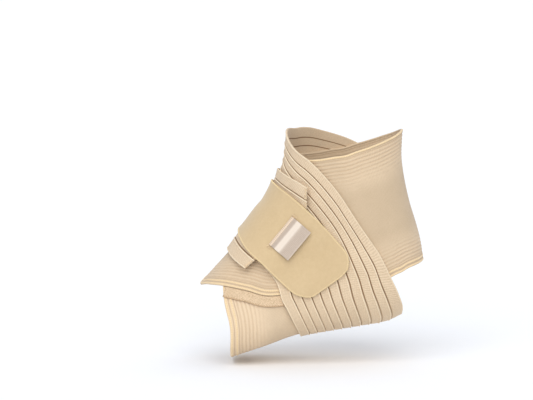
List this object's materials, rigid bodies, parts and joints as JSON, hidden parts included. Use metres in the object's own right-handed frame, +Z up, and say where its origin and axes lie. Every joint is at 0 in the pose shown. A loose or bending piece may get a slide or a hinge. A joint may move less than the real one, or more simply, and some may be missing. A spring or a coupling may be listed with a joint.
{
  "type": "elastic ankle brace",
  "caption": "Worn elastic ankle brace: ankle and foot bands with a ribbed figure-of-eight strap, closed by a smooth rounded flap with a bare label; heel and toes open.",
  "frame": {"origin": "centre of the ankle joint, inside the hollow of the brace", "axes": "+Z up along the shin, -X towards the toes, -Y to the outer side of a left foot"},
  "size_m": [0.1681, 0.087, 0.1719],
  "materials": {
    "band_cloth": "ribbed beige knit, matt",
    "strip_cloth": "plain nubby beige tape, matt",
    "strap_cloth": "beige looped elastic in ribs, matt",
    "flap_cloth": "smooth yellow-beige felt, matt",
    "label_satin": "pinkish satin, soft sheen"
  },
  "bodies": {
    "root": {"foot_band": "band_cloth", "ankle_band": "band_cloth", "joining_strip_outer": "strip_cloth", "joining_strip_inner": "strip_cloth", "cross_strap": "strap_cloth", "closure_flap": "flap_cloth", "flap_label": "label_satin"}
  },
  "joints": []
}
